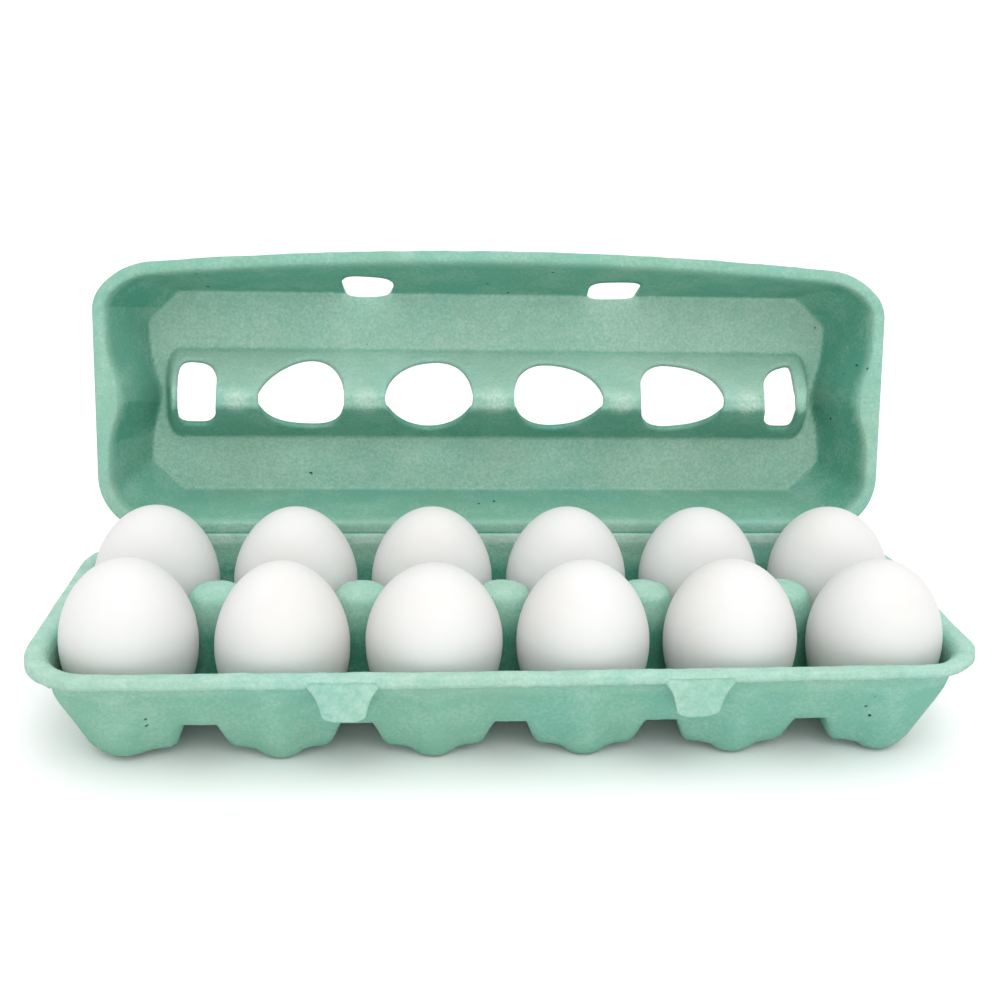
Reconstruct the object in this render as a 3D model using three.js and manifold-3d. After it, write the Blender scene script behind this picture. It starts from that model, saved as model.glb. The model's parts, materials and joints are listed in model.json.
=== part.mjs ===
// A twelve-cell moulded pulp egg carton, open, with its eggs. Millimetres, +Z up, front towards -Y.
import * as THREE from 'three';
import { mergeVertices } from 'three/addons/utils/BufferGeometryUtils.js';
import Module from 'manifold-3d';

const wasm = await Module();
wasm.setup();

// Driving sizes
const pitch = 48.5;                       // egg to egg along a row
const columns = 6;
const rowOffset = 24.5;                   // each row's distance from the tray's middle line
const rimHeight = 37;                     // table to the top of the flange
const skin = 2;                           // pulp thickness
const gap = 0.3;                          // between pieces that touch
const lidLean = THREE.MathUtils.degToRad(12);   // the open lid, past upright

// Tray
const innerLength = 287;                  // inside the walls, at the rim
const innerWidth = 98;
const flangeWidth = 7;
const flangeThickness = 1.6;
const lipDrop = 3.4;                      // flange top to the lower edge of its lip
const wallTopCorner = 17;
const wallFootCorner = 12;
const wallInset = 9.8;                    // how far the walls lean in from the rim to the feet
const deckHeight = rimHeight - 10;        // top of the web between the cups
const shoulderHeight = 3;                 // lower edge of the walls beside each nub
const archHeight = 13.5;
const archTopHalf = 5;
const archFootHalf = 9;
const postHeight = rimHeight + 6.2;
const cupProfile = [[4.4, 9.8], [7.5, 14.6], [15, 19.8], [deckHeight, 23.1], [rimHeight, 23.3]];
const nubRadius = 4;

// Eggs
const eggRadius = 20.8;
const eggTop = rimHeight + 23.6;
const eggWidest = rimHeight - 2.2;
const eggBottom = 5.2;

// Hinge, lid and locking tongues
const hingeY = 49.9;
const hingeZ = rimHeight + 4.3;
const lidInnerHalf = 143.3;                // half length inside the lid's rim
const lidTaper = 8.3;                     // how far an end wall leans in by the roof
const lidNear = 4.3;                      // rim to inner wall on the hinge side
const lidFar = 99;                        // hinge to inner wall on the front side
const lidSlope = 8.4;                     // how far the long walls lean in by the roof
const lidDepth = 28.5;
const lipWidth = 4.3;
const lidCorner = 17;
const lipBow = 2.1;                       // how far the front lip stands out at its middle
const lipFall = 5.2;                      // and how far it has fallen back at bowHalf
const bowHalf = 121;
const ridgeFeet = [34, 68.4];             // where the ridge leaves the roof, from the hinge
const ridgeCrest = [46.4, 52.9];
const ridgeHalf = [127, 121.5];           // half its length at the roof and at its crest
const crestDepth = 5.2;                   // rim plane to the ridge's crest
const notchDepth = 5;
const slotCentre = 48.5;
const slotHalf = 10.4;
const tongueCentres = [-51.6, 56.4];       // left and right of the middle
const tongueLength = 13.6;

const pulp = new THREE.MeshStandardMaterial({ color: 0x8fc7ac, roughness: 0.95, metalness: 0 });
const palePulp = new THREE.MeshStandardMaterial({ color: 0xa9d8c2, roughness: 0.95, metalness: 0 });
const shell = new THREE.MeshStandardMaterial({ color: 0xf3f2ee, roughness: 0.6, metalness: 0 });

// Solids and booleans
function solidOf(geometry) {
  const bare = geometry.clone();
  bare.deleteAttribute('normal');
  bare.deleteAttribute('uv');
  const merged = mergeVertices(bare, 1e-4);
  return new wasm.Manifold(new wasm.Mesh({
    numProp: 3,
    vertProperties: new Float32Array(merged.attributes.position.array),
    triVerts: new Uint32Array(merged.index.array),
  }));
}

function geometryOf(solid) {
  const mesh = solid.getMesh();
  const geometry = new THREE.BufferGeometry();
  geometry.setAttribute('position', new THREE.BufferAttribute(new Float32Array(mesh.vertProperties), 3));
  geometry.setIndex(new THREE.BufferAttribute(new Uint32Array(mesh.triVerts), 1));
  return geometry;
}

function pieceOf(name, solid, material) {
  const piece = new THREE.Mesh(geometryOf(solid), material);
  piece.name = name;
  return piece;
}

function unionOf(solids) {
  return solids.reduce((whole, solid) => whole.add(solid));
}

function boxSolid(low, high) {
  const box = new THREE.BoxGeometry(high[0] - low[0], high[1] - low[1], high[2] - low[2]);
  box.translate((low[0] + high[0]) / 2, (low[1] + high[1]) / 2, (low[2] + high[2]) / 2);
  return solidOf(box);
}

// A closed skin through rings of equal count, each a list of [x, y, z] turning anticlockwise seen from +Z.
function loftSolid(rings) {
  const count = rings[0].length;
  const middle = (ring) => [0, 1, 2].map((k) => ring.reduce((sum, point) => sum + point[k], 0) / count);
  const points = [...rings.flat(), middle(rings[0]), middle(rings.at(-1))];
  const faces = [];
  const floor = rings.length * count;
  for (let i = 0; i < count; i += 1) {
    const j = (i + 1) % count;
    faces.push(floor, j, i, floor + 1, floor - count + i, floor - count + j);
    for (let r = 0; r < rings.length - 1; r += 1) {
      const a = r * count;
      const b = a + count;
      faces.push(a + i, a + j, b + j, a + i, b + j, b + i);
    }
  }
  const geometry = new THREE.BufferGeometry();
  geometry.setAttribute('position', new THREE.Float32BufferAttribute(points.flat(), 3));
  geometry.setIndex(faces);
  return solidOf(geometry);
}

function circleRing(x, y, z, radius, count = 20) {
  return Array.from({ length: count }, (_, i) => {
    const angle = (2 * Math.PI * (i + 0.5)) / count;
    return [x + radius * Math.cos(angle), y + radius * Math.sin(angle), z];
  });
}

// A rounded rectangle between two corners, at one height.
function panelRing(low, high, corner, z, steps = 4) {
  const centres = [
    [high[0] - corner, high[1] - corner], [low[0] + corner, high[1] - corner],
    [low[0] + corner, low[1] + corner], [high[0] - corner, low[1] + corner],
  ];
  return centres.flatMap(([x, y], quarter) => Array.from({ length: steps + 1 }, (_, i) => {
    const angle = (Math.PI / 2) * (quarter + i / steps);
    return [x + corner * Math.cos(angle), y + corner * Math.sin(angle), z];
  }));
}

function prismSolid(outline, low, high) {
  const shape = new THREE.Shape(outline.map(([x, y]) => new THREE.Vector2(x, y)));
  const prism = new THREE.ExtrudeGeometry(shape, { depth: high - low, bevelEnabled: false });
  prism.translate(0, 0, low);
  return solidOf(prism);
}

// Tray: cups, web, walls and feet as one skin, then cut between the cells
const cellX = Array.from({ length: columns }, (_, i) => (i - (columns - 1) / 2) * pitch);
const wallTop = rimHeight - flangeThickness - gap;
const wallSlope = wallInset / rimHeight;

function wallSolid(offset, low, high) {
  const ring = (z) => {
    const inset = (rimHeight - z) * wallSlope - offset;
    const corner = wallTopCorner + (wallFootCorner - wallTopCorner) * (1 - z / rimHeight) + offset;
    const half = [innerLength / 2 - inset, innerWidth / 2 - inset];
    return panelRing([-half[0], -half[1]], half, corner, z);
  };
  return loftSolid([ring(low), ring(high)]);
}

function cupSolid(x, y, offset, drop) {
  const rings = cupProfile.map(([z, radius], i) => circleRing(x, y, i === 0 ? z - drop : z, radius + offset));
  return loftSolid(rings);
}

function archSolid(x) {
  const outline = [
    [x - archFootHalf, -1], [x + archFootHalf, -1], [x + archFootHalf, shoulderHeight],
    [x + archTopHalf, archHeight], [x - archTopHalf, archHeight], [x - archFootHalf, shoulderHeight],
  ];
  const arch = prismSolid(outline, -innerWidth, innerWidth);
  return arch.rotate([90, 0, 0]);
}

function nubSolid(x, side) {
  const wallAt = (z) => innerWidth / 2 - (rimHeight - z) * wallSlope;
  const ring = (z, radius) => circleRing(x, side * (wallAt(z) - radius + 0.8), z, radius, 12);
  return loftSolid([ring(0, nubRadius), ring(shoulderHeight + 1, nubRadius + 1.6), ring(12, nubRadius + 2)]);
}

function traySolid() {
  const rows = [-rowOffset, rowOffset];
  const cells = rows.flatMap((y) => cellX.map((x) => [x, y]));
  const cups = cells.map(([x, y]) => cupSolid(x, y, skin, skin));
  const hollows = cells.map(([x, y]) => cupSolid(x, y, 0, 0));
  const arches = cellX.slice(1).map((x) => archSolid(x - pitch / 2));
  const nubs = cellX.flatMap((x) => [nubSolid(x, -1), nubSolid(x, 1)]);
  const walls = wallSolid(skin, shoulderHeight, wallTop).subtract(wallSolid(0, -1, rimHeight));
  const web = wallSolid(0.5, deckHeight - skin, deckHeight);
  const openTop = boxSolid([-160, -60, deckHeight], [160, 60, rimHeight]).intersect(wallSolid(0, 0, rimHeight));
  const bowls = unionOf(cups).subtract(boxSolid([-200, -100, wallTop], [200, 100, rimHeight + 1]));
  const footed = unionOf([walls, web, bowls, ...nubs]).subtract(unionOf(hollows)).subtract(openTop);
  return footed.subtract(unionOf(arches));
}

function addTray(group) {
  const whole = traySolid();
  const postHoles = unionOf(postXs().map((x) => postShape(x, gap, 0)));
  const tray = whole.subtract(postHoles);
  const reach = { low: -innerLength, high: innerLength };
  for (const [row, side] of [['front', -1], ['rear', 1]]) {
    cellX.forEach((x, i) => {
      const left = i === 0 ? reach.low : x - pitch / 2 + gap / 2;
      const right = i === columns - 1 ? reach.high : x + pitch / 2 - gap / 2;
      const ySpan = side < 0 ? [-innerWidth, -gap / 2] : [gap / 2, innerWidth];
      const cell = tray.intersect(boxSolid([left, ySpan[0], -1], [right, ySpan[1], rimHeight]));
      group.add(pieceOf(`cup_${row}_${i + 1}`, cell, pulp));
    });
  }
}

function postXs() {
  return cellX.slice(1).map((x) => x - pitch / 2);
}

// A blunt hollow cone standing in the web between four cups.
function postShape(x, offset, drop) {
  const profile = [
    [deckHeight - 1 - drop, 10.9], [rimHeight - 1, 9.4], [postHeight - 1.8 - drop, 7.8], [postHeight - drop, 4.6],
  ];
  return loftSolid(profile.map(([z, radius]) => circleRing(x, 0, z, radius + offset, 16)));
}

function addPosts(group) {
  postXs().forEach((x, i) => {
    const post = postShape(x, 0, 0).subtract(postShape(x, -skin, skin));
    group.add(pieceOf(`post_${i + 1}`, post, pulp));
  });
}

// A flat brim along the front and both ends, with a turned-down lip that stops beside each tongue.
function addFlange(group) {
  const half = [innerLength / 2, innerWidth / 2];
  const ringAt = (out, low, high) => loftSolid([low, high].map((z) => (
    panelRing([-half[0] - out, -half[1] - out], [half[0] + out, half[1] + out], wallTopCorner + out / 2, z, 6)
  )));
  const brim = ringAt(flangeWidth, rimHeight - lipDrop, rimHeight);
  const under = ringAt(flangeWidth - flangeThickness, 0, rimHeight - flangeThickness);
  const rear = boxSolid([-200, half[1] - 3, 0], [200, 200, rimHeight + 1]);
  const tongueGaps = tongueCentres.map((x) => boxSolid(
    [x - 11.8, -80, 0],
    [x + 11.8, -half[1] - 3, rimHeight - flangeThickness],
  ));
  const flange = brim.subtract(ringAt(0, 0, rimHeight + 1)).subtract(under).subtract(rear);
  group.add(pieceOf('tray_flange', flange.subtract(unionOf(tongueGaps)), palePulp));
}

function addHingeStrip(group) {
  const strip = boxSolid([-lidInnerHalf + 6, hingeY - 1.6, wallTop + gap], [lidInnerHalf - 6, hingeY - 0.1, hingeZ - gap]);
  group.add(pieceOf('hinge_strip', strip, palePulp));
}

// Locking tongues: tapered tabs hanging from the flange's outer edge
function addTongues(group) {
  for (const [i, label] of ['left', 'right'].entries()) {
    const outline = [[-6, -tongueLength], [6, -tongueLength], [11.4, -2.2], [11.4, 0], [-11.4, 0], [-11.4, -2.2]];
    const tongue = prismSolid(outline, 0, flangeThickness).rotate([90, 0, 0]);
    const piece = pieceOf(`tongue_${label}`, tongue, palePulp);
    piece.position.set(tongueCentres[i], -innerWidth / 2 - flangeWidth + flangeThickness,
      rimHeight - flangeThickness - gap);
    group.add(piece);
  }
}

// Lid, drawn lying open face down the Y axis: X along, Z from the hinge to the front, Y into its depth.
// The rings below are drawn flat as (x, from hinge, depth) and then turned up.
// Their front side is bowed, by a share that falls from 1 at the rim to 0 at the roof.
function bowedRing(low, high, corner, depth) {
  const ring = panelRing(low, high, corner, depth, 5);
  const [start, end] = [ring[5], ring[6]];
  const steps = 10;
  const side = Array.from({ length: steps - 1 }, (_, i) => (
    [start[0] + ((end[0] - start[0]) * (i + 1)) / steps, start[1], depth]
  ));
  const share = 1 - Math.max(depth, 0) / lidDepth;
  return [...ring.slice(0, 6), ...side, ...ring.slice(6)].map(([x, y, z]) => {
    const reach = Math.max(0, (y - (high[1] - corner)) / corner);
    return [x, y + share * reach * (lipBow - lipFall * (x / bowHalf) ** 2), z];
  });
}

function lidShape(offset, low, high) {
  const ring = (depth) => {
    const lean = Math.max(depth, 0) / lidDepth;
    const half = lidInnerHalf - lidTaper * lean + offset;
    const near = lidNear + lidSlope * lean - offset;
    const far = lidFar - lidSlope * lean + offset;
    return bowedRing([-half, near], [half, far], lidCorner - 2 * lean + offset, depth);
  };
  return loftSolid([ring(low), ring(high)]);
}

// The ridge, pushed in from the roof. An inset of one skin gives the hollow behind it.
function ridgeShape(inset) {
  const top = lidDepth + 4;
  const slant = (top - crestDepth) / (lidDepth - crestDepth);
  const wide = (crest, foot) => crest + (foot - crest) * slant;
  const ring = (near, far, half, depth) => (
    panelRing([-half + inset, near + inset], [half - inset, far - inset], 2, depth, 2)
  );
  const crest = ring(ridgeCrest[0], ridgeCrest[1], ridgeHalf[1], crestDepth + inset);
  const foot = ring(
    wide(ridgeCrest[0], ridgeFeet[0]), wide(ridgeCrest[1], ridgeFeet[1]), wide(ridgeHalf[1], ridgeHalf[0]), top,
  );
  return loftSolid([crest, foot]);
}

// The recess in an end wall, behind a lip that runs on past it.
function notchShape(side, offset, low) {
  const ring = (depth) => {
    const inner = lidInnerHalf + skin - notchDepth - offset - lidTaper * (depth / lidDepth);
    const outer = inner + notchDepth + 12;
    const corners = [[inner, 40 - offset / 2], [outer, 30 - offset], [outer, 74 + offset], [inner, 63 + offset / 2]];
    const placed = corners.map(([x, y]) => [side * x, y, depth]);
    return side < 0 ? placed.reverse() : placed;
  };
  return loftSolid([ring(low), ring(lidDepth + 4)]);
}

function windowSolids() {
  const wide = 16.4;
  const narrow = 7.8;
  const middles = [-112, ...cellX.slice(1, -1), 112];
  return middles.map((x) => {
    const reach = Math.abs(x) > 100 ? narrow : wide;
    const ring = (depth) => panelRing([x - reach, 40.2], [x + reach, 64], Math.min(reach - 0.5, 10), depth, 4);
    return loftSolid([ring(-2), ring(lidDepth + 6)]);
  });
}

function lidSolid() {
  const lip = loftSolid([0, skin].map((depth) => bowedRing(
    [-lidInnerHalf - lipWidth, 0.4], [lidInnerHalf + lipWidth, lidFar + lipWidth], lidCorner + lipWidth, depth,
  )));
  const outside = lidShape(skin, 0, lidDepth + skin).add(lip);
  const inside = lidShape(0, -1, lidDepth);
  const notches = [-1, 1].map((side) => notchShape(side, 0, skin));
  const notchSkins = unionOf([-1, 1].map((side) => notchShape(side, skin, -1)));
  const shellSolid = outside.subtract(unionOf([ridgeShape(skin), ...notches]));
  const slots = [-1, 1].map((side) => boxSolid(
    [side * slotCentre - slotHalf, 88, 10.6], [side * slotCentre + slotHalf, 108, lidDepth + 5],
  ));
  return shellSolid.subtract(inside.subtract(ridgeShape(0)).subtract(notchSkins)).subtract(unionOf(slots));
}

// One moulding, parted into a ridge, a back, a front and two ends.
function addLid(group) {
  const lid = lidSolid().subtract(unionOf(windowSolids())).rotate([90, 0, 0]).mirror([0, 1, 0]);
  const span = [ridgeFeet[0] - 1.5, ridgeFeet[1] + 1.5];
  const half = ridgeHalf[0] + 1.6;
  const zones = {
    lid_ridge: [[-half, span[0]], [half, span[1]]],
    lid_back: [[-half, -1], [half, span[0] - gap]],
    lid_front: [[-half, span[1] + gap], [half, 120]],
    lid_end_left: [[-160, -1], [-half - gap, 120]],
    lid_end_right: [[half + gap, -1], [160, 120]],
  };
  const frame = new THREE.Group();
  frame.position.set(0, hingeY, hingeZ);
  frame.rotation.x = -lidLean;
  for (const [name, [low, high]] of Object.entries(zones)) {
    const zone = boxSolid([low[0], -1, low[1]], [high[0], lidDepth + 10, high[1]]);
    frame.add(pieceOf(name, lid.intersect(zone), pulp));
  }
  group.add(frame);
}

// Eggs: pointed end up, turned from one profile
function eggGeometry() {
  const steps = 9;
  const profile = Array.from({ length: steps + 1 }, (_, i) => {
    const angle = (Math.PI * i) / steps - Math.PI / 2;
    const reach = angle > 0 ? eggTop - eggWidest : eggWidest - eggBottom;
    const taper = 1 - 0.05 * Math.sin(angle);
    const ends = i === 0 || i === steps;
    return new THREE.Vector2(ends ? 0 : eggRadius * Math.cos(angle) * taper, eggWidest + reach * Math.sin(angle));
  });
  const egg = new THREE.LatheGeometry(profile, 16);
  egg.rotateX(Math.PI / 2);
  return egg;
}

function addEggs(group) {
  const egg = eggGeometry();
  for (const [row, y] of [['front', -rowOffset], ['rear', rowOffset]]) {
    cellX.forEach((x, i) => {
      const piece = new THREE.Mesh(egg, shell);
      piece.name = `egg_${row}_${i + 1}`;
      piece.position.set(x, y, 0);
      group.add(piece);
    });
  }
}

const carton = new THREE.Group();
addTray(carton);
addPosts(carton);
addFlange(carton);
addHingeStrip(carton);
addTongues(carton);
addLid(carton);
addEggs(carton);

// The open carton is centred on its own box, with its feet at zero.
carton.updateMatrixWorld(true);
const extent = new THREE.Box3().setFromObject(carton, true);
carton.position.y = -(extent.min.y + extent.max.y) / 2;
carton.position.x = -(extent.min.x + extent.max.x) / 2;

const whole = new THREE.Group();
whole.add(carton);

export default whole;
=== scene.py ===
import json
import math

import bmesh
import bpy
import numpy as np
from mathutils import Matrix, Vector


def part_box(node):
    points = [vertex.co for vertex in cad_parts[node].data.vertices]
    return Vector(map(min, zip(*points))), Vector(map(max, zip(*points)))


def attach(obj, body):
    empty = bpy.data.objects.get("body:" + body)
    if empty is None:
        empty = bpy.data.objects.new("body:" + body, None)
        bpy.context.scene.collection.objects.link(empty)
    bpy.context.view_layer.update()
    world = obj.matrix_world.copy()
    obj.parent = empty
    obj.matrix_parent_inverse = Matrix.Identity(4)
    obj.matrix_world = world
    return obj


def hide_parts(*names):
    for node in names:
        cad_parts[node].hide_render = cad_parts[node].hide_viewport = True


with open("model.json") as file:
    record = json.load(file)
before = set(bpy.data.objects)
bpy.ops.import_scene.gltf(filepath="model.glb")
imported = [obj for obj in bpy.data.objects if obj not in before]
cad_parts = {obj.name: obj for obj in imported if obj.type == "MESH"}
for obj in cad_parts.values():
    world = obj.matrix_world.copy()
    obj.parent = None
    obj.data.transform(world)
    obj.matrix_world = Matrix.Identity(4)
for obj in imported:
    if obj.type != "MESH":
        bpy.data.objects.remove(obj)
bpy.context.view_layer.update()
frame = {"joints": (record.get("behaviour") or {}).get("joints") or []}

mm = 0.001


# places read from the frame, all in millimetres

def boxMm(node):
    low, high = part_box(node)
    return np.array(low) / mm, np.array(high) / mm


flangeHigh = boxMm("tray_flange")[1]
rowNames = ("front", "rear")
eggNames = [f"egg_{row}_{i}" for row in rowNames for i in range(1, 7)]
eggPlaces = {name: sum(boxMm(name)) / 2 for name in eggNames}
cellX = np.array([eggPlaces[f"egg_front_{i}"][0] for i in range(1, 7)])
pitch = cellX[1] - cellX[0]
middleY = (eggPlaces["egg_front_1"][1] + eggPlaces["egg_rear_1"][1]) / 2
rowOffset = eggPlaces["egg_rear_1"][1] - middleY
tongueX = [(boxMm(name)[0][0] + boxMm(name)[1][0]) / 2 for name in ("tongue_left", "tongue_right")]
rimZ = flangeHigh[2]
hinge = next(j for j in frame["joints"] if j["name"] == "lid_hinge")
hingeY, hingeZ = hinge["pos_m"][1] / mm, hinge["pos_m"][2] / mm
print("frame read: rim", round(rimZ, 1), "hinge", round(hingeY, 1), round(hingeZ, 1))


# shape helpers

def blend01(x, low, high):
    # 0 below low, 1 above high, a smooth cubic between
    t = np.clip((x - low) / (high - low), 0, 1)
    return t * t * (3 - 2 * t)


def softMin(a, b, k):
    # the lower of two values, with their corner rounded over a band of width k
    h = np.maximum(k - np.abs(a - b), 0)
    return np.minimum(a, b) - h * h / (4 * k)


def softMax(a, b, k):
    # the higher of two values, rounded the same way
    return -softMin(-a, -b, k)


def bell(x, width):
    # a bump of height 1 at zero that falls off as exp(-(x/width)^2)
    return np.exp(-(x / width) ** 2)


def wander(x, y, wave, seed):
    # slow uneven hills between about -1 and 1: a sum of sines in seeded directions and phases
    rng = np.random.default_rng(seed)
    total = np.zeros(np.broadcast(x, y).shape)
    for scale in (1.0, 0.61, 0.37):
        angle, phase = rng.uniform(0, 2 * np.pi, (2, 4))
        for a, p in zip(angle, phase):
            total += scale * np.sin(2 * np.pi * (x * np.cos(a) + y * np.sin(a)) / (wave * scale) + p)
    return total / 5


def spaced(*stops):
    # lines through every stop: stops alternate between places and the spacing used up to the next place
    lines = [stops[0]]
    for start, step, end in zip(stops[0::2], stops[1::2], stops[2::2]):
        count = max(1, int(round(abs(end - start) / step)))
        lines.extend(np.linspace(start, end, count + 1)[1:])
    return np.array(lines)


def roundCorners(a, b, halfA, halfB, radius):
    # Slides points on concentric rectangles onto concentric rounded rectangles. depth is the distance in from
    # the edge; the corner radius there is radius - depth, and distance along the edge becomes angle along the
    # arc. Inside, where the radius has run out, points stay. Returns the moved a and b, and the depth.
    depth = np.minimum(halfA - np.abs(a), halfB - np.abs(b))
    r = np.maximum(radius - depth, 0)
    sideA = (halfA - np.abs(a)) < (halfB - np.abs(b))
    toCorner = np.where(sideA, halfB - np.abs(b), halfA - np.abs(a)) - depth
    near = toCorner < r
    share = np.where(near, 1 - toCorner / np.maximum(r, 1e-9), 0)
    angle = np.where(sideA, share * np.pi / 4, np.pi / 2 - share * np.pi / 4)
    centreA, centreB = halfA - depth - r, halfB - depth - r
    newA = np.where(near, np.sign(a) * (centreA + r * np.cos(angle)), a)
    newB = np.where(near, np.sign(b) * (centreB + r * np.sin(angle)), b)
    return newA, newB, depth


def turnedEdge(width, drop, bend, steps=240):
    # A brim's section: it runs out level for width, then turns down through an arc and hangs to drop.
    # Returns distance along it, how far out and how far down, from adding up small steps along its angle.
    along = np.linspace(0, width + drop, steps)
    level, hanging = np.radians(2), np.radians(86)
    angle = level + (hanging - level) * blend01(along, width - bend, width + bend * 0.6)
    step = along[1] - along[0]
    out = np.concatenate([[0], np.cumsum(np.cos(angle[1:]) * step)])
    down = np.concatenate([[0], np.cumsum(np.sin(angle[1:]) * step)])
    return along, out, down


def gridFaces(rows, columns, keep=None):
    # four-cornered faces over a rows x columns grid of points, leaving out those where keep is False
    index = np.arange(rows * columns).reshape(rows, columns)
    faces = np.stack([index[:-1, :-1], index[:-1, 1:], index[1:, 1:], index[1:, :-1]], axis=-1)
    faces = faces.reshape(-1, 4)
    return faces if keep is None else faces[keep.ravel()]


def makePiece(name, points, faces, material, attributes=None):
    # points in millimetres become a smooth mesh in metres, without the points no face uses
    used = np.unique(faces)
    remap = np.zeros(len(points), int)
    remap[used] = np.arange(len(used))
    points, faces = points[used] * mm, remap[faces]
    mesh = bpy.data.meshes.new(name)
    mesh.vertices.add(len(points))
    mesh.vertices.foreach_set("co", points.astype(np.float32).ravel())
    mesh.loops.add(faces.size)
    mesh.loops.foreach_set("vertex_index", faces.astype(np.int32).ravel())
    mesh.polygons.add(len(faces))
    mesh.polygons.foreach_set("loop_start", np.arange(0, faces.size, faces.shape[1], dtype=np.int32))
    mesh.update(calc_edges=True)
    mesh.polygons.foreach_set("use_smooth", np.ones(len(faces), bool))
    for key, values in (attributes or {}).items():
        layer = mesh.attributes.new(key, "FLOAT", "POINT")
        layer.data.foreach_set("value", values.ravel()[used].astype(np.float32))
    mesh.validate()
    mesh.materials.append(material)
    piece = bpy.data.objects.new(name, mesh)
    bpy.context.scene.collection.objects.link(piece)
    return piece, used


def thicken(piece, thickness, share=None):
    # gives the sheet its wall on the far side of its faces; share, 0 to 1 at each point, thins it at the fold
    solid = piece.modifiers.new("wall", "SOLIDIFY")
    solid.thickness = thickness * mm
    solid.offset = -1
    solid.use_quality_normals = True
    if share is not None:
        group = piece.vertex_groups.new(name="wall_share")
        level = np.round(share * 12).astype(int)
        for step in range(13):
            group.add(np.nonzero(level == step)[0].tolist(), step / 12, "REPLACE")
        solid.vertex_group = "wall_share"


# camera

cameraSet = {"place": (-29.74, -398.9, 211.2), "pitch": 0.35, "turn": 0.073, "roll": -0.026, "lens": 43.64}


def makeCamera(s):
    # forward from pitch and turn, then the frame's right and down rolled about it
    ahead = np.array([math.sin(s["turn"]) * math.cos(s["pitch"]), math.cos(s["turn"]) * math.cos(s["pitch"]),
                      -math.sin(s["pitch"])])
    right = np.array([math.cos(s["turn"]), -math.sin(s["turn"]), 0])
    down = np.cross(ahead, right)
    rightR = math.cos(s["roll"]) * right + math.sin(s["roll"]) * down
    downR = -math.sin(s["roll"]) * right + math.cos(s["roll"]) * down
    data = bpy.data.cameras.new("camera")
    data.lens, data.sensor_width = s["lens"], 36
    camera = bpy.data.objects.new("camera", data)
    bpy.context.scene.collection.objects.link(camera)
    turn = Matrix([[*row] for row in np.column_stack([rightR, -downR, -ahead])]).to_4x4()
    camera.matrix_world = Matrix.Translation([c * mm for c in s["place"]]) @ turn
    data.clip_start, data.clip_end = 0.01, 20
    bpy.context.scene.camera = camera


makeCamera(cameraSet)


# materials

class Link:
    # wraps a socket so that arithmetic on it adds Math nodes
    def __init__(self, tree, socket):
        self.tree, self.socket = tree, socket

    def math(self, kind, other=None, swap=False):
        values = [self, other] if other is not None else [self]
        if swap:
            values.reverse()
        return self.tree.node("ShaderNodeMath", {"operation": kind}, dict(enumerate(values)))

    def __add__(self, other): return self.math("ADD", other)
    def __radd__(self, other): return self.math("ADD", other)
    def __sub__(self, other): return self.math("SUBTRACT", other)
    def __rsub__(self, other): return self.math("SUBTRACT", other, True)
    def __mul__(self, other): return self.math("MULTIPLY", other)
    def __rmul__(self, other): return self.math("MULTIPLY", other)
    def __truediv__(self, other): return self.math("DIVIDE", other)
    def __pow__(self, other): return self.math("POWER", other)


class Finish:
    # one material: its tree, its shader and the nodes that feed them
    def __init__(self, name):
        self.material = bpy.data.materials.new(name)
        self.material.use_nodes = True
        self.nodes = self.material.node_tree.nodes
        self.links = self.material.node_tree.links
        self.shader = self.nodes["Principled BSDF"]

    def node(self, kind, settings=None, inputs=None, output=0):
        made = self.nodes.new(kind)
        for key, value in (settings or {}).items():
            setattr(made, key, value)
        for key, value in (inputs or {}).items():
            self.feed(made.inputs[key], value)
        return Link(self, made.outputs[output])

    def feed(self, socket, value):
        if isinstance(value, Link):
            self.links.new(value.socket, socket)
        else:
            socket.default_value = value

    def noise(self, where, scale, detail=2.0, rough=0.5, stretch=None, turn=0.0):
        if stretch:
            where = self.node("ShaderNodeMapping", {}, {"Vector": where, "Scale": stretch,
                                                        "Rotation": (0.3 * turn, 0.5 * turn, turn)})
        return self.node("ShaderNodeTexNoise", {}, {"Vector": where, "Scale": scale, "Detail": detail,
                                                    "Roughness": rough})

    def mix(self, share, first, second):
        return self.node("ShaderNodeMix", {"data_type": "RGBA"}, {0: share, 6: first, 7: second}, 2)

    def ramp(self, value, low, high):
        return self.node("ShaderNodeMapRange", {"interpolation_type": "SMOOTHSTEP"},
                         {"Value": value, "From Min": low, "From Max": high})

    def attribute(self, name):
        return self.node("ShaderNodeAttribute", {"attribute_name": name}, {}, 2)


def tint(red, green, blue):
    # a screen colour as the linear values a shader takes, by the sRGB curve above its straight foot
    return tuple(((c / 255 + 0.055) / 1.055) ** 2.4 for c in (red, green, blue)) + (1.0,)


# the darkest green is the colour of painted shade; the felt's darker fibres use it too
pulpLook = {
    "body": tint(141, 182, 160), "cool": tint(130, 182, 166), "paintedShade": tint(78, 149, 127),
    "pale": tint(190, 213, 203), "rubbed": tint(174, 201, 185), "speck": tint(48, 62, 56),
    "roughness": 0.95, "bump": 0.0007,
}


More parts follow.
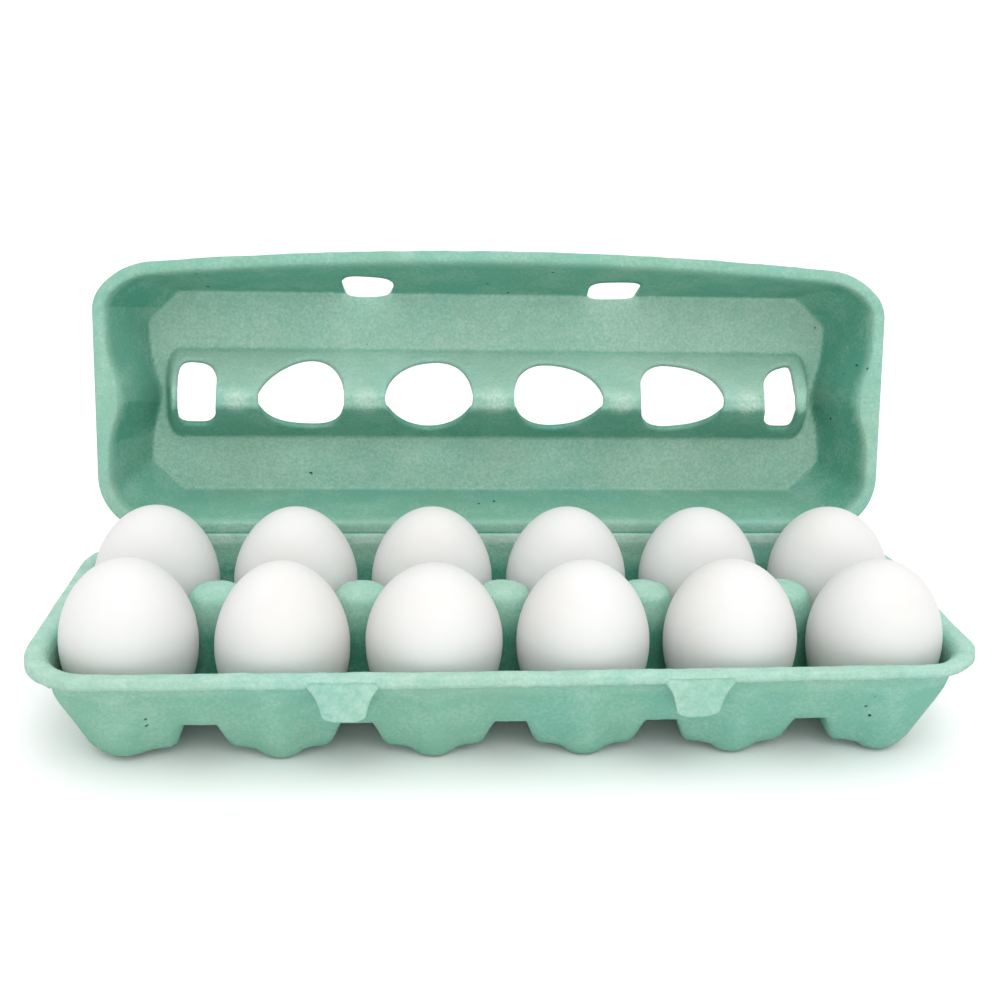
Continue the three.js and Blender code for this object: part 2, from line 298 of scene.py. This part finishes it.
def makePulp(s):
    # Moulded paper pulp: uneven green, a fine felt of fibres both ways, a few dark flecks, pale where it is
    # worn or rubbed and where painted light lies, and darkened by painted shade where the attribute says so.
    f = Finish("moulded_pulp")
    where = f.node("ShaderNodeTexCoord", {}, {}, 3)
    cloud = f.noise(where, 22, 4, 0.6)
    patch = f.noise(where, 75, 4, 0.65)
    grain = f.noise(where, 900, 3, 0.7)
    fibreA = f.noise(where, 700, 3, 0.65, (1, 0.22, 0.8), 0.4)
    fibreB = f.noise(where, 700, 3, 0.65, (0.25, 1, 0.6), -0.7)
    fibre = (fibreA + fibreB) * 0.5
    felt = f.ramp(grain * 0.55 + fibre * 0.45, 0.34, 0.66)
    wearAndLight, paintedShade, rubbed = (f.attribute(name) for name in ("wearAndLight", "paintedShade", "rubbed"))
    base = f.mix(f.ramp(cloud, 0.38, 0.64), s["body"], s["cool"])
    # painted shade: the darkest green where the shade attribute asks, unevenly by the patch noise
    base = f.mix(paintedShade * (0.75 + patch * 0.4), base, s["paintedShade"])
    base = f.mix(rubbed * (0.4 + felt * 0.8), base, s["rubbed"])
    # paler where worn, and on the lid's ridge where light is painted on
    base = f.mix(wearAndLight * (0.5 + patch * 0.7), base, s["pale"])
    base = f.mix(f.ramp(patch * 0.6 + grain * 0.4, 0.44, 0.62) * 0.2, base, s["pale"])
    # the felt's darker fibres, in the same darkest green
    base = f.mix((1 - felt) * 0.22, base, s["paintedShade"])
    fleck = f.node("ShaderNodeTexVoronoi", {}, {"Vector": where, "Scale": 210.0, "Randomness": 1.0})
    few = f.ramp(f.noise(where, 95, 1), 0.67, 0.71)
    base = f.mix(f.ramp(fleck + (fibre - 0.5) * 0.5, 0.16, 0.09) * few, base, s["speck"])
    f.feed(f.shader.inputs["Base Color"], base)
    height = fibre * 0.6 + grain * 0.5 + patch * 0.6
    bump = f.node("ShaderNodeBump", {}, {"Strength": 0.8, "Distance": s["bump"], "Height": height})
    f.feed(f.shader.inputs["Normal"], bump)
    f.shader.inputs["Roughness"].default_value = s["roughness"]
    f.shader.inputs["Specular IOR Level"].default_value = 0.15
    return f.material


shellLook = {"body": tint(214, 214, 213), "warm": tint(211, 207, 203), "roughness": 0.7, "shine": 0.3}


def makeShell(s):
    # a matt white eggshell: fine pores, and a faint warm unevenness
    f = Finish("eggshell")
    where = f.node("ShaderNodeTexCoord", {}, {}, 3)
    cloud = f.noise(where, 30, 3, 0.6)
    pores = f.noise(where, 1500, 2, 0.6)
    f.feed(f.shader.inputs["Base Color"], f.mix(f.ramp(cloud, 0.42, 0.7) * 0.5, s["body"], s["warm"]))
    bump = f.node("ShaderNodeBump", {}, {"Strength": 0.12, "Distance": 0.0003, "Height": pores})
    f.feed(f.shader.inputs["Normal"], bump)
    f.shader.inputs["Roughness"].default_value = s["roughness"]
    f.shader.inputs["Specular IOR Level"].default_value = s["shine"]
    return f.material


pulp = makePulp(pulpLook)
shell = makeShell(shellLook)
print("camera and materials made")


# tray

tray = {
    "halfLength": flangeHigh[0] - 7, "halfWidth": 49.0, "corner": 17.0, "flange": 6.9, "lip": 3.9,
    "wall": 1.95, "rimDip": 1.8, "rimRise": 4.0,   # the brim rises rimDip to its crest, over this width
    "cup": ((0, 5), (13.4, 5), (14.6, 5.9), (18.0, 15.5), (20.3, 20), (22.5, 27), (23.3, 37), (24.6, 56)),
    "saddle": 15.4, "midWall": 25.0, "postTop": rimZ + 5.5, "footInset": 12.5, "endInset": 15.5,
    "stripRise": 4.3, "groove": 0.45, "tongueHalf": 10.6, "nubs": (0.35, 1, 1, 1, 0.9, 0.75),
    "nub": 3.0, "nubHalf": (5.6, 4.2), "nubAt": 14.0, "flute": 4.0, "swell": 5.0,
    # the wall and cup values set how strongly painted shade darkens the walls and the cups
    "uneven": (0.22, 0.12, 0.07), "brimWorn": 0.6, "postWorn": 0.5, "wallShade": 0.3, "cupShade": 0.9,
}


def brimLift(x):
    # the moulding isn't quite true: its front brim rises about a millimetre towards the right
    return blend01(x, -30, 140)


def traySheet(s, x, y, depth, a, b):
    # Height of the pulp at (x, y) inside the rim. A cup's height is read from its section at the distance
    # from its egg, measured round it on the inner side and straight across on the outer side, so cups open to
    # the wall. Webs, the middle wall and the posts cap the cups, nubs hang under their outer ends, and the
    # outer wall, fluted at each cup, rises above them all.
    nearest = np.argmin(np.abs(x[..., None] - cellX), axis=-1)
    u, w = x - cellX[nearest], np.abs(y) - rowOffset
    reach = np.hypot(u, np.minimum(w, 0))
    cup = np.interp(reach, *zip(*s["cup"]))
    postX = np.clip(np.round(x / pitch), -2, 2) * pitch
    fromPost = np.hypot(x - postX, y * 0.96)
    post = s["postTop"] - 1.5 * (fromPost / 7) ** 2 - 24 * np.clip((fromPost - 8) / 6, 0, None) ** 1.6
    web = softMax(s["midWall"] - 0.13 * y ** 2, np.full_like(x, s["saddle"]), 4.0)
    sheet = softMin(cup, softMax(web, post, 4.0), 2.2)
    nub = np.where(y < 0, np.array(s["nubs"])[nearest], 1)
    across, outward = np.exp(-np.abs(u / s["nubHalf"][0]) ** 3), bell(w - s["nubAt"], s["nubHalf"][1])
    sheet = sheet - s["nub"] * nub * across * outward
    endShare = blend01((s["halfWidth"] - np.abs(b)) - (s["halfLength"] - np.abs(a)), -9, 9)
    inset = s["footInset"] + (s["endInset"] - s["footInset"]) * endShare
    flute = s["flute"] * bell(u, 4.2 + 0.32 * depth) * blend01(depth, 0, 6) * (1 - endShare)
    swell = s["swell"] * bell(w, 15) * blend01(depth, 0, 3) * endShare
    fall = np.clip((depth + flute + swell) / inset, 0, None)
    top = rimZ - s["rimDip"]
    wall = top - (top - 3.0) * fall ** (1 / 1.15)
    return softMax(sheet, wall, 1.6)


def makeTray(s):
    # One sheet over a grid whose outer lines follow the rim. Inside the rim its height is traySheet; outside,
    # the front and ends follow a turned-down brim and the rear a strip rising to the fold.
    along, out, down = turnedEdge(s["flange"] - 0.3, s["lip"] - 0.9, 1.0)
    brim = np.array([0, 1.2, 2.6, 4.0, 5.0, 5.6, 6.1, 6.6, 7.1, 7.7, 8.3, along[-1]])
    band = 16 * (np.arange(19) / 18) ** 1.2
    inner = spaced(-(s["halfLength"] - 16), 0.95, s["halfLength"] - 16)
    edge = np.concatenate([-brim[:0:-1], band])
    a = np.concatenate([-s["halfLength"] + edge[:-1], inner, s["halfLength"] - edge[-2::-1]])
    inner = spaced(-(s["halfWidth"] - 16), 0.95, s["halfWidth"] - 16)
    b = np.concatenate([-s["halfWidth"] + edge[:-1], inner, s["halfWidth"] - edge[-2::-1]])
    gridA, gridB = np.meshgrid(a, b)
    past = np.maximum(-np.minimum(s["halfLength"] - np.abs(gridA), s["halfWidth"] - np.abs(gridB)), 0)
    # outside the rim, each line moves in to its real distance out, so corners stay concentric
    shrink = past - np.interp(past, along, out)
    pullA = np.where(s["halfLength"] < np.abs(gridA), np.minimum(shrink, np.abs(gridA) - s["halfLength"]), 0)
    pullB = np.where(s["halfWidth"] < np.abs(gridB), np.minimum(shrink, np.abs(gridB) - s["halfWidth"]), 0)
    ringA, ringB = gridA - np.sign(gridA) * pullA, gridB - np.sign(gridB) * pullB
    x, y, depth = roundCorners(ringA, ringB, s["halfLength"], s["halfWidth"], s["corner"])
    z = traySheet(s, x, y, np.maximum(depth, 0), ringA, ringB)
    crest = s["rimDip"] * np.clip(1 - past / s["rimRise"], 0, 1) ** 2
    z = np.where(past > 0, rimZ - np.interp(past, along, down) - crest, z)
    # the rear edge: from the rim up to the fold
    rear = (gridB > 0) * blend01(138 - np.abs(gridA), 0, 9) * (past > 0)
    rise = past / along[-1]
    z = z + rear * (rimZ - 0.4 + (s["stripRise"] + 0.4) * rise ** 0.9 - z)
    y = y + rear * (s["halfWidth"] + (hingeY - middleY - s["halfWidth"]) * rise + s["groove"] * rise ** 8 - y)
    fromTongue = np.minimum(np.abs(x - tongueX[0]), np.abs(x - tongueX[1]))
    behindTongue = blend01(s["tongueHalf"] - fromTongue, 0, 0.4) * (gridB < 0)
    z = z + behindTongue * (past > 6.3) * 0.8 * (rimZ - 1.2 - z)
    toRight = brimLift(x) * blend01(-gridB, 20, 45) * blend01(past, 0, 3)
    z = z + toRight * (1.0 + 0.8 * blend01(past, 6.3, 8.3) * (1 - behindTongue))
    uneven = sum(height * wander(x, y, wave, seed)
                 for height, wave, seed in zip(s["uneven"], (34, 11, 4.5), (3, 4, 5)))
    z = z + uneven * blend01(z, 3.5, 9) * (1 - rear)
    z = z + 0.32 * wander(x, y, 13, 12) * blend01(past, 6.2, 8.3) * (1 - rear)
    x = x + 0.16 * wander(y + z, x, 19, 6) * blend01(z, 3, 8) * (past < 5)
    # the brim, the strip and the posts' tops are worn; inside the cups, down the walls and at the fold,
    # painted shade darkens the green
    postTops = blend01(z, rimZ + 1, rimZ + 5.5) * (past == 0)
    wearAndLight = np.maximum(blend01(past, 0.2, 2.5) * (s["brimWorn"] + 0.4 * rear), postTops * s["postWorn"])
    wearAndLight = wearAndLight * (0.75 + 0.35 * wander(x, y, 9, 14))
    inside = np.maximum(blend01(depth, 13, 20), blend01(y, 34, 40) * (past == 0))
    # painted shade: darker the further below the rim, lightly on the walls and strongly in the cups
    paintedShade = blend01(rimZ - 1 - z, 0, 10) * (s["wallShade"] * (depth > 2) + s["cupShade"] * inside)
    # painted shade: a dark line along the fold, where the wear is taken off
    crease = rear * blend01(rise, 0.86, 0.98)
    wearAndLight, paintedShade = wearAndLight * (1 - crease), np.maximum(paintedShade, crease)
    points = np.stack([x, y + middleY, z], axis=-1).reshape(-1, 3)
    faces = gridFaces(*x.shape)
    piece, used = makePiece("moulded_tray", points, faces, pulp,
                            {"wearAndLight": wearAndLight, "paintedShade": paintedShade, "rubbed": wearAndLight * 0})
    thicken(piece, s["wall"], (1 - 0.8 * rear * blend01(rise, 0.35, 1)).ravel()[used])
    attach(piece, "tray")
    nodes = [f"cup_{row}_{i}" for row in rowNames for i in range(1, 7)] + [f"post_{i}" for i in range(1, 6)]
    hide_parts(*nodes, "tray_flange", "hinge_strip")


makeTray(tray)
print("tray made")


# lid

lid = {
    "halfLength": 143.2, "near": 4.3, "far": 99.0, "corner": 17.0, "lip": 4.25, "depth": 28.4, "wall": 1.9,
    "longInset": 8.6, "endInset": 10.1, "chamferStart": 9.0, "chamferRun": 21.5,
    "crestLow": 46.4, "crestHigh": 52.9, "footLow": 34.0, "footHigh": 68.4, "crest": 5.3, "ridgeEnd": 120.5,
    "ridgeEndRun": 6.5, "notchAt": 50.5, "notchWide": 11.5, "notchDeep": 5.0, "lean": 12.0,
    "bow": 2.1, "bowFall": 5.2, "bowHalf": 121.0, "boss": 4.7, "bossAt": 49.8,
    # the ledge value paints the ridge's upward face paler as if lit; the slope and under values set painted
    # shade
    "lipWorn": 0.16, "ridgeLight": 0.3, "slopeShade": 0.4, "underShade": 0.35, "lipDeep": (0.12, 0.25),
}
# each hole: middle along, half sizes, how square its far and near edges are, how much those narrow to the
# right, how much the far edge slants, how far it is lifted, and how far its middle is bent along the carton
holeKeys = ("at", "half", "square", "taper", "slant", "lift", "bend")
windowTable = (
    (-114.4, (8.1, 12.8), (3.2, 3.8), (0.05, 0.0), 0, 0, 1.8),
    (-73.1, (16.1, 13.4), (1.95, 2.8), (-0.2, -0.06), 0, 0, 0),
    (-25.1, (16.6, 13.7), (2.3, 2.0), (-0.12, 0.0), 0, -0.5, 0),
    (24.7, (17.1, 13.0), (2.3, 2.2), (0.16, 0.1), 0, -0.5, -0.5),
    (72.8, (16.2, 13.0), (2.5, 2.6), (0.18, 0.16), 0, -0.5, -0.9),
    (114.2, (6.2, 12.9), (3.6, 4.4), (0.0, 0.0), 0.25, -0.5, -4.4),
)
slotTable = (
    (-48.6, (10.0, 3.2), (3.4, 2.4), (0.15, 0.1), 0, -0.5, 0),
    (47.2, (10.2, 2.7), (3.6, 3.2), (-0.1, 0.12), 0, -0.7, 0),
)
windowMiddle, windowBlock, slotMiddle, slotBlock = 51.6, 11.0, 92.4, 2.75
# block is the half size of the block of grid cells each hole is opened from, and reach says how many such
# blocks out the bending of the grid dies away
narrowWindow = 10
windows = [dict(zip(holeKeys, row), middle=windowMiddle, block=(row[1][0] * 0.84, windowBlock),
                reach=1.55 if row[1][0] > narrowWindow else 2.6) for row in windowTable]
slots = [dict(zip(holeKeys, row), middle=slotMiddle, block=(row[1][0] * 0.9, slotBlock), reach=2.2)
         for row in slotTable]


def wrapHole(hole, a, t):
    # Bends grid lines so that a block of cells opens into the hole's outline, a superellipse whose two long
    # edges narrow and slant. The bend fades to nothing at reach times the block's size.
    p, q = (a - hole["at"]) / hole["block"][0], (t - hole["middle"]) / hole["block"][1]
    size = np.maximum(np.abs(p), np.abs(q))
    p, q = p / np.maximum(size, 1e-6), q / np.maximum(size, 1e-6)
    angle = np.arctan2(q, p)
    c, d = np.cos(angle), np.sin(angle)
    far = d > 0
    n = 2 / np.where(far, *hole["square"])
    edgeA = hole["half"][0] * np.sign(c) * np.abs(c) ** n
    narrow = 1 - np.where(far, *hole["taper"]) * edgeA / hole["half"][0]
    edgeT = hole["half"][1] * np.sign(d) * np.abs(d) ** n * narrow
    edgeT = edgeT + hole["slant"] * edgeA * far * np.abs(d) + hole["lift"]
    edgeA = edgeA + hole["bend"] * (1 - np.abs(d) ** (2 * n))
    fade = (1 - blend01(size, 1.0, hole["reach"])) * np.minimum(size, 1)
    return (edgeA - p * hole["block"][0]) * fade, (edgeT - q * hole["block"][1]) * fade


def lidDepthAt(s, x, t, depth, a, b):
    # How deep the inner face lies below the rim plane: walls that deepen with distance in from the rim,
    # chamfered corners, a flat roof, and the ridge that comes back towards the rim with blunt bosses on its
    # crest. Returns the depth, where the bosses are and where the ridge is.
    centreT, halfT = (s["near"] + s["far"]) / 2, (s["far"] - s["near"]) / 2
    endShare = blend01((halfT - np.abs(b)) - (s["halfLength"] - np.abs(a)), -5, 5)
    inset = s["longInset"] + (s["endInset"] - s["longInset"]) * endShare
    notch = s["notchDeep"] * bell(t - s["notchAt"], s["notchWide"]) * blend01(np.abs(x), 112, 126)
    wall = s["depth"] * (depth - notch * (1 - 0.018 * depth)) / inset
    wall = softMax(wall, np.zeros_like(wall), 1.2)
    cornerSum = (s["halfLength"] - np.abs(x)) + (halfT - np.abs(t - centreT))
    chamfer = s["depth"] * (cornerSum - s["chamferStart"]) / s["chamferRun"]
    sheet = softMin(softMin(wall, chamfer, 2.4), np.full_like(x, s["depth"]), 1.3)
    rise = s["depth"] - s["crest"]
    side = np.maximum((s["crestLow"] - t) / (s["crestLow"] - s["footLow"]),
                      (t - s["crestHigh"]) / (s["footHigh"] - s["crestHigh"]))
    end = (np.abs(x) - s["ridgeEnd"]) / s["ridgeEndRun"]
    side, end = (softMax(share, 0 * x, 0.12) for share in (side, end))
    ridge = s["crest"] + rise * (side ** 2.4 + end ** 2.4) ** (1 / 2.4)
    boss = sum(np.exp(-(np.hypot(x - k * pitch, t - s["bossAt"]) / s["boss"]) ** 4) for k in range(-2, 3))
    return softMin(sheet, ridge, 1.4) - 0.8 * boss, boss, blend01(sheet - ridge, 0, 3)


def makeLid(s):
    # A grid in the lid's own plane (x along, t from the fold), its cells opened at windows and slots, dropped
    # to lidDepthAt and then leaned back about the fold by the lean angle.
    centreT, halfT = (s["near"] + s["far"]) / 2, (s["far"] - s["near"]) / 2
    depths = np.array([0, 0.5, 1.1, 1.8, 2.5, 3.2, 4.4, 5.4, 6.4, 7.5, 8.0, 8.5, 9.15, 9.9, 10.6, 11.3,
                       12.2, 13.1, 14.0])
    for side in (-1, 1):   # the nearest line moves onto each long edge of the slots
        place = s["far"] - slotMiddle + side * slotBlock
        depths[np.argmin(np.abs(depths - place))] = place
    edge = np.concatenate([-s["lip"] * np.array([1.0, 0.93, 0.78, 0.5, 0.22]), depths])
    stops = [-(s["halfLength"] - 14)]
    for hole in windows:
        stops += [0.95, hole["at"] - hole["block"][0], 0.95, hole["at"] + hole["block"][0]]
    innerA = spaced(*stops, 0.95, s["halfLength"] - 14)
    for place in [h["at"] + side * h["block"][0] for h in slots for side in (-1, 1)]:
        innerA[np.argmin(np.abs(innerA - place))] = place   # the nearest line moves onto each slot's edge
    a = np.concatenate([-s["halfLength"] + edge[:-1], innerA, s["halfLength"] - edge[-2::-1]])
    innerT = spaced(s["near"] + 14, 0.95, windowMiddle - windowBlock, 0.95, windowMiddle + windowBlock,
                    0.95, s["far"] - 14)
    b = np.concatenate([-halfT + edge[:-1], innerT - centreT, halfT - edge[-2::-1]])
    gridA, gridB = np.meshgrid(a, b)
    moves = [wrapHole(hole, gridA, gridB + centreT) for hole in windows + slots]
    bentA, bentB = gridA + sum(m[0] for m in moves), gridB + sum(m[1] for m in moves)
    x, t, depth = roundCorners(bentA, bentB, s["halfLength"], halfT, s["corner"])
    t = t + centreT
    past = np.maximum(-depth, 0)
    down, boss, onRidge = lidDepthAt(s, x, t, np.maximum(depth, 0), bentA, bentB)
    atFold = blend01(14 - t, 0, 8) * blend01(138 - np.abs(x), 0, 8)
    down = np.where(past > 0, 0.25 + (0.9 - 0.7 * atFold) * (past / s["lip"]) ** 3, down + 0.25)
    t = t - 0.05 * atFold * past / s["lip"]
    slow, quick = wander(x, t, 40, 8) * blend01(depth, 1, 6), wander(x, t, 13, 9) * blend01(depth, 0, 4)
    down = down + 0.2 * slow + 0.1 * quick + 0.06 * wander(x, t, 4.5, 10)
    down = np.maximum(down + (0.45 - down) * atFold * blend01(past, 3, s["lip"]), 0.05)
    # painted shade darkens the sloping parts, the faces turned down, the end walls and the creases; the rim
    # and the bosses are worn, the ridge's upward face is painted pale as if lit, and the flat roof is rubbed
    # pale
    slopeT = np.gradient(down, axis=0) / np.gradient(t, axis=0)
    slopeX = np.gradient(down, axis=1) / np.gradient(x, axis=1)
    steep = blend01(np.hypot(slopeT, slopeX), 0.35, 1.3)
    wearAndLight = blend01(2.4 - down, 0, 1.8) * s["lipWorn"] * (0.8 + 0.4 * wander(x, t, 9, 15))
    # faces turned down, which get painted shade
    facesDown = (slopeT < -0.4) * (t > 30) * (t < 50) + (t > 84)
    # the ridge's upward face, which is painted paler as if lit
    facesUp = onRidge * (slopeT > 0.1) * (t > 50)
    # the end walls get painted shade, the right one more
    atEnd = blend01(np.abs(x), 127, 134) * (0.25 + 0.3 * (x > 0))
    # painted shade on the steep parts, more on faces turned down and on the end walls
    paintedShade = steep * blend01(down, 1.5, 5) * (s["slopeShade"] + s["underShade"] * facesDown + atEnd)
    # the painted shade is lifted off the ridge's upward face, and dark lines of painted shade run along the
    # creases round the roof
    paintedShade = paintedShade * (1 - 0.9 * facesUp) + 0.9 * steep * (1 - steep) * (down > 20)
    # painted light: the ridge's upward face is made paler through the wear channel
    wearAndLight = wearAndLight + s["ridgeLight"] * facesUp
    # the rim is darker, more over its part 70 to 92 from the fold
    atRim, atFront = s["lipDeep"]
    paintedShade = np.maximum(paintedShade, blend01(3 - down, 0, 2) * (atRim + atFront * blend01(t, 70, 92)))
    # painted shade: a dark line along the fold, with the wear taken off there
    crease = atFold * blend01(past, 0.78 * s["lip"], s["lip"])
    wearAndLight, paintedShade = wearAndLight * (1 - crease), np.maximum(paintedShade, crease)
    rubbed = np.maximum(boss, 0.5 * (1 - steep) * blend01(down, 24, 27))
    # the front lip bows outward, most at the rim and not at all at the roof
    reach = np.clip((t - s["far"] + s["corner"]) / np.maximum(s["corner"] - depth, 3), 0, 1)
    bow = s["bow"] - s["bowFall"] * (x / s["bowHalf"]) ** 2
    t = t + reach * np.clip(1 - down / s["depth"], 0, 1) * bow
    t = t + 0.25 * wander(x, t, 17, 16) * blend01(past, 1.5, 4) * (t > 60)
    middleA, middleT = (gridA[:-1, :-1] + gridA[1:, 1:]) / 2, (gridB[:-1, :-1] + gridB[1:, 1:]) / 2 + centreT
    keep = np.ones(middleA.shape, bool)
    for hole in windows + slots:
        keep &= ((np.abs(middleA - hole["at"]) > hole["block"][0])
                 | (np.abs(middleT - hole["middle"]) > hole["block"][1]))
    lean = math.radians(s["lean"])
    y = hingeY + t * math.sin(lean) + down * math.cos(lean)
    z = hingeZ + t * math.cos(lean) - down * math.sin(lean)
    points = np.stack([x, y, z], axis=-1).reshape(-1, 3)
    piece, used = makePiece("moulded_lid", points, gridFaces(*x.shape, keep), pulp,
                            {"wearAndLight": wearAndLight, "paintedShade": np.clip(paintedShade, 0, 1), "rubbed": rubbed})
    thicken(piece, s["wall"], blend01(t + 1.6, 0, 5.6).ravel()[used])
    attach(piece, "lid")
    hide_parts("lid_ridge", "lid_back", "lid_front", "lid_end_left", "lid_end_right")


makeLid(lid)
print("lid made")


# locking tongues

tongue = {"rootHalf": 11.3, "tipHalf": 6.6, "length": 13.7, "wall": 1.45, "wearAndLight": 0.28, "rounding": 0.13}


def makeTongue(s, side, node):
    # A tapered tab: across it the half width runs from root to tip along a smooth step, and it hangs from the
    # brim's edge with its tip rounded by a superellipse.
    low, high = boxMm(node)
    across, downward = np.meshgrid(np.linspace(-1, 1, 41), np.linspace(0, 1, 33))
    taper = (1 - np.exp(-3.2 * np.maximum(downward - 0.12, 0))) / 0.94 * 0.75 + downward * 0.25
    half = s["rootHalf"] + (s["tipHalf"] - s["rootHalf"]) * taper
    x = (low[0] + high[0]) / 2 + across * half
    length = s["length"] * (1 - s["rounding"] * np.abs(across) ** 4 * downward)
    z = high[2] + 0.7 + brimLift(x) - downward * length + 0.15 * wander(x, downward * 9, 7, 20 + side)
    y = low[1] + 0.15 + 0.5 * bell(downward, 0.12) + 0.25 * wander(x, z, 12, 22 + side) * downward
    points = np.stack([x, y, z], axis=-1).reshape(-1, 3)
    wearAndLight = s["wearAndLight"] + 0.2 * wander(x, z, 6, 24 + side)
    piece = makePiece(f"locking_{node}", points, gridFaces(*x.shape)[:, ::-1], pulp,
                      {"wearAndLight": wearAndLight, "paintedShade": wearAndLight * 0, "rubbed": wearAndLight * 0})[0]
    thicken(piece, s["wall"])
    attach(piece, node)
    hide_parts(node)


for side, node in ((-1, "tongue_left"), (1, "tongue_right")):
    makeTongue(tongue, side, node)
print("tongues made")


# eggs

eggShape = {"below": 29.4, "widest": rimZ - 2.2}
# each egg: radius, height above its widest level, taper to the top, lean in degrees right and back, and how
# far it is moved right
eggEach = {
    "egg_front_1": (21.4, 27.0, 0.02, -1, 0, 0.5), "egg_front_2": (21.4, 25.8, 0.09, 0, 1, 0.2),
    "egg_front_3": (22.1, 24.7, 0.04, 0, 0, 0.2), "egg_front_4": (21.6, 25.8, 0.06, -1, 0, 0),
    "egg_front_5": (21.6, 25.8, 0.04, 0.5, 1, 0), "egg_front_6": (21.6, 25.8, 0.05, 2, 0, 0),
    "egg_rear_1": (21.6, 26.4, 0.06, 1, 0, -0.3), "egg_rear_2": (21.8, 25.8, 0.07, 0.5, 0, 0),
    "egg_rear_3": (21.6, 25.8, 0.05, 0, 0, 0), "egg_rear_4": (21.6, 25.8, 0.06, 1, 0, 0),
    "egg_rear_5": (21.4, 25.6, 0.05, -1, 0, 0), "egg_rear_6": (21.6, 25.8, 0.05, -4, 0, 0),
}


def makeEgg(s, name, radius, above, taper, leanRight, leanBack, moved):
    # Turned from an oval whose upper half is shorter and tapers: radius x cos(v) x (1 - taper x sin(v)), then
    # leaned about its widest level.
    v, turn = np.meshgrid(np.linspace(-np.pi / 2, np.pi / 2, 49), np.linspace(0, 2 * np.pi, 65)[:-1],
                          indexing="ij")
    reach = np.where(v > 0, above, s["below"])
    round_ = radius * np.cos(v) * (1 - taper * np.sin(v))
    local = np.stack([round_ * np.cos(turn), round_ * np.sin(turn), reach * np.sin(v)], axis=-1)
    a, b = math.radians(leanRight), math.radians(leanBack)
    tiltA = np.array([[math.cos(a), 0, math.sin(a)], [0, 1, 0], [-math.sin(a), 0, math.cos(a)]])
    tiltB = np.array([[1, 0, 0], [0, math.cos(b), math.sin(b)], [0, -math.sin(b), math.cos(b)]])
    place = eggPlaces[name]
    points = local @ (tiltB @ tiltA).T + np.array([place[0] + moved, place[1], s["widest"]])
    rows, columns = v.shape
    index = np.arange(rows * columns).reshape(rows, columns)
    right = np.roll(index, -1, axis=1)
    faces = np.stack([index[:-1], right[:-1], right[1:], index[1:]], axis=-1).reshape(-1, 4)
    piece = makePiece(f"shelled_{name}", points.reshape(-1, 3), faces, shell)[0]
    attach(piece, name)
    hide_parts(name)
    return piece


def closePoles(piece):
    # the rings at the two ends shrink to a point, so their doubles are merged
    work = bmesh.new()
    work.from_mesh(piece.data)
    bmesh.ops.remove_doubles(work, verts=work.verts, dist=1e-6)
    work.to_mesh(piece.data)
    work.free()


for name, each in eggEach.items():
    closePoles(makeEgg(eggShape, name, *each))
print("eggs made")


# floor and light

studio = {"floor": 0.93, "halfFloor": 60.0, "aim": (0, 0, 0.06),
          "lamps": (("key", 4.6, 1.0, (0.25, -0.75, 1.2)), ("fill", 3.2, 0.9, (-0.1, -1.3, 0.3))),
          "sky": ((0.0, 1.12), (0.07, 1.12), (0.16, 0.6), (0.55, 0.85), (1.0, 1.85))}


def makeStudio(s):
    # a wide pale floor, soft lamps above and low in front, and a sky whose brightness depends on height alone
    half = s["halfFloor"]
    mesh = bpy.data.meshes.new("floor")
    corners = [(-half, -half, 0), (half, -half, 0), (half, half, 0), (-half, half, 0)]
    mesh.from_pydata(corners, [], [(0, 1, 2, 3)])
    floor = bpy.data.objects.new("floor", mesh)
    bpy.context.scene.collection.objects.link(floor)
    paper = Finish("pale_floor")
    paper.shader.inputs["Base Color"].default_value = (s["floor"],) * 3 + (1,)
    paper.shader.inputs["Roughness"].default_value = 0.9
    mesh.materials.append(paper.material)
    world = bpy.data.worlds.new("soft_room")
    world.use_nodes = True
    nodes, links = world.node_tree.nodes, world.node_tree.links
    where = nodes.new("ShaderNodeTexCoord")
    split = nodes.new("ShaderNodeSeparateXYZ")
    ramp = nodes.new("ShaderNodeValToRGB")
    while len(ramp.color_ramp.elements) < len(s["sky"]):
        ramp.color_ramp.elements.new(0.5)
    for element, (place, bright) in zip(ramp.color_ramp.elements, s["sky"]):
        element.position, element.color = place, (bright,) * 3 + (1,)
    links.new(where.outputs["Generated"], split.inputs[0])
    links.new(split.outputs[2], ramp.inputs[0])
    links.new(ramp.outputs[0], nodes["Background"].inputs["Color"])
    bpy.context.scene.world = world
    for name, power, size, place in s["lamps"]:
        data = bpy.data.lights.new(name, "AREA")
        data.energy, data.size = power, size
        lamp = bpy.data.objects.new(name, data)
        bpy.context.scene.collection.objects.link(lamp)
        lamp.location = place
        lamp.rotation_euler = (Vector(s["aim"]) - lamp.location).to_track_quat("-Z", "Y").to_euler()


makeStudio(studio)
bpy.context.scene.view_settings.view_transform = "Standard"
print("floor and light made")
